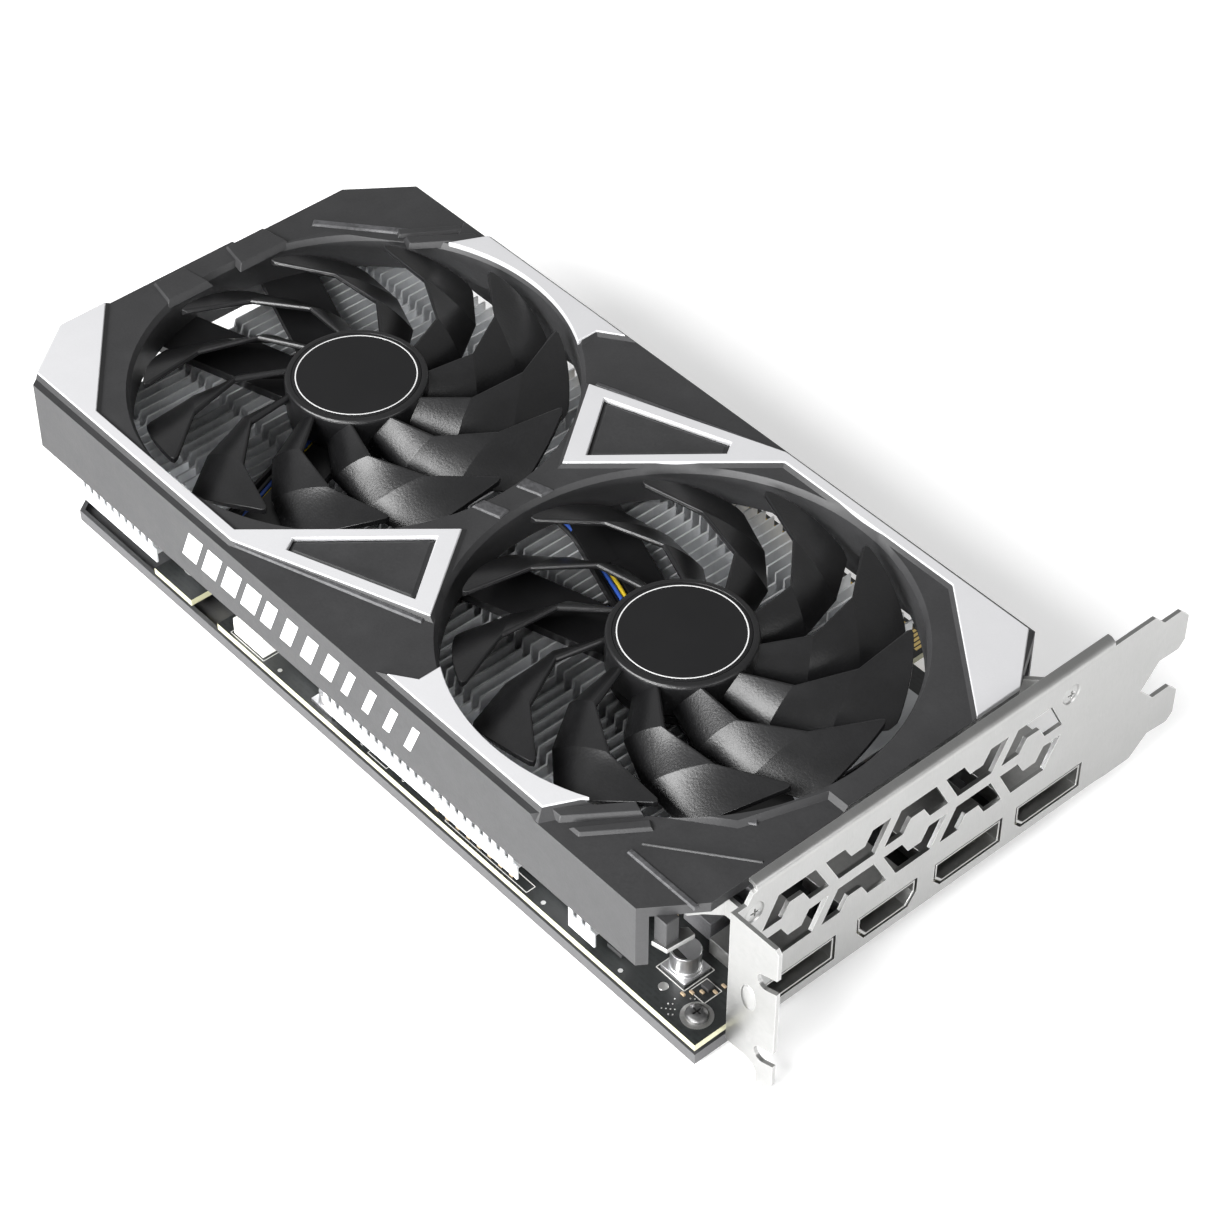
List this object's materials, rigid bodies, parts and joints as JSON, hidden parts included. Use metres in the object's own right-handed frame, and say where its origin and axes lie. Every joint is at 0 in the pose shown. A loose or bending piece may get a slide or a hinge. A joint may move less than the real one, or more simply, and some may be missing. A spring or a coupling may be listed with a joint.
{
  "type": "graphics card",
  "caption": "Dual-slot graphics card: faceted shroud with axial fans over a fin stack, circuit board with edge connector, backplate and a vented slot bracket with video ports.",
  "frame": {"origin": "centre of the bottom face of the bounding box, with the card lying on its backplate side and the fans up", "axes": "+X along the card towards the slot bracket, +Y across the card towards the edge connector, +Z out of the fans"},
  "size_m": [0.2212, 0.1324, 0.0439],
  "materials": {
    "aluminium_fin": "bright sheet",
    "backplate_paint": "black powder coat",
    "base_aluminium": "milled",
    "black_connector": "black nylon",
    "black_screw": "black oxide",
    "blade_plastic": "satin black",
    "board": "black solder mask, cream glass-fibre edge",
    "bronze": "sintered bronze",
    "can": "drawn can",
    "ceramic_part": "ceramic with tinned ends",
    "chip": "epoxy",
    "choke": "pressed ferrite",
    "copper": "milled copper",
    "copper_wire": "enamelled copper",
    "fan_board": "green solder mask",
    "frame_plastic": "black",
    "gold": "gold flash",
    "hub_label": "flat black disc with a pale ring",
    "inlay_plastic": "textured charcoal",
    "lamination": "stacked laminations",
    "lead_sleeve": "flexible sleeve",
    "magnet": "bonded ferrite",
    "nickel_pipe": "nickel-plated copper",
    "nickel_steel": "satin nickel plate",
    "package": "green laminate",
    "port_liner": "stamped steel",
    "port_tongue": "contact carrier",
    "shroud_plastic": "fine-grained charcoal moulding",
    "silicon": "polished silicon",
    "steel": "machined steel",
    "thermal_pad": "soft silicone",
    "tin": "tinned",
    "trim_paint": "satin pale grey",
    "white_connector": "natural nylon"
  },
  "bodies": {
    "card": {"backplate": "backplate_paint", "bearing_sleeves": "bronze", "board_screws": "black_screw", "bracket_screws": "nickel_steel", "bracket_tabs": "nickel_steel", "can_capacitors": "can", "chip_capacitors": "ceramic_part", "circuit_board": "board", "cold_plate": "copper", "cooler_base_plate": "base_aluminium", "cooler_screws": "black_screw", "cooler_washers": "steel", "crescent_trims": "trim_paint", "edge_contacts": "gold", "fan_boards": "fan_board", "fan_frame_screws": "black_screw", "fan_header": "white_connector", "fan_plug": "white_connector", "far_trim": "trim_paint", "front_fan_frame": "frame_plastic", "front_fan_leads": "lead_sleeve", "front_fin_stack": "aluminium_fin", "ground_rings": "tin", "heat_pipes": "nickel_pipe", "memory_chips": "chip", "middle_fin_stack": "aluminium_fin", "narrow_port_shell": "port_liner", "narrow_port_tongue": "port_tongue", "near_trim": "trim_paint", "power_chokes": "choke", "power_connector": "black_connector", "power_pins": "tin", "power_switches": "chip", "processor_die": "silicon", "processor_package": "package", "rear_fan_frame": "frame_plastic", "rear_fan_leads": "lead_sleeve", "rear_fin_stack": "aluminium_fin", "shroud": "shroud_plastic", "slot_bracket": "nickel_steel", "spring_bracket": "steel", "stator_coils": "copper_wire", "stator_cores": "lamination", "support_chips": "chip", "thermal_pads": "thermal_pad", "triangle_inlays": "inlay_plastic", "wide_port_shells": "port_liner", "wide_port_tongues": "port_tongue"},
    "front_fan_rotor": {"front_impeller": "blade_plastic", "front_hub_disc": "hub_label", "front_rotor_shaft": "steel", "front_rotor_yoke": "steel", "front_magnet_ring": "magnet"},
    "rear_fan_rotor": {"rear_impeller": "blade_plastic", "rear_hub_disc": "hub_label", "rear_rotor_shaft": "steel", "rear_rotor_yoke": "steel", "rear_magnet_ring": "magnet"}
  },
  "joints": [
    {"name": "front_fan_spin", "type": "hinge", "parent": "card", "child": "front_fan_rotor", "pos_m": [0.04219, -0.01434, 0.0372], "axis": [0, 0, 1], "continuous": true},
    {"name": "rear_fan_spin", "type": "hinge", "parent": "card", "child": "rear_fan_rotor", "pos_m": [-0.05781, -0.01434, 0.0372], "axis": [0, 0, 1], "continuous": true}
  ]
}
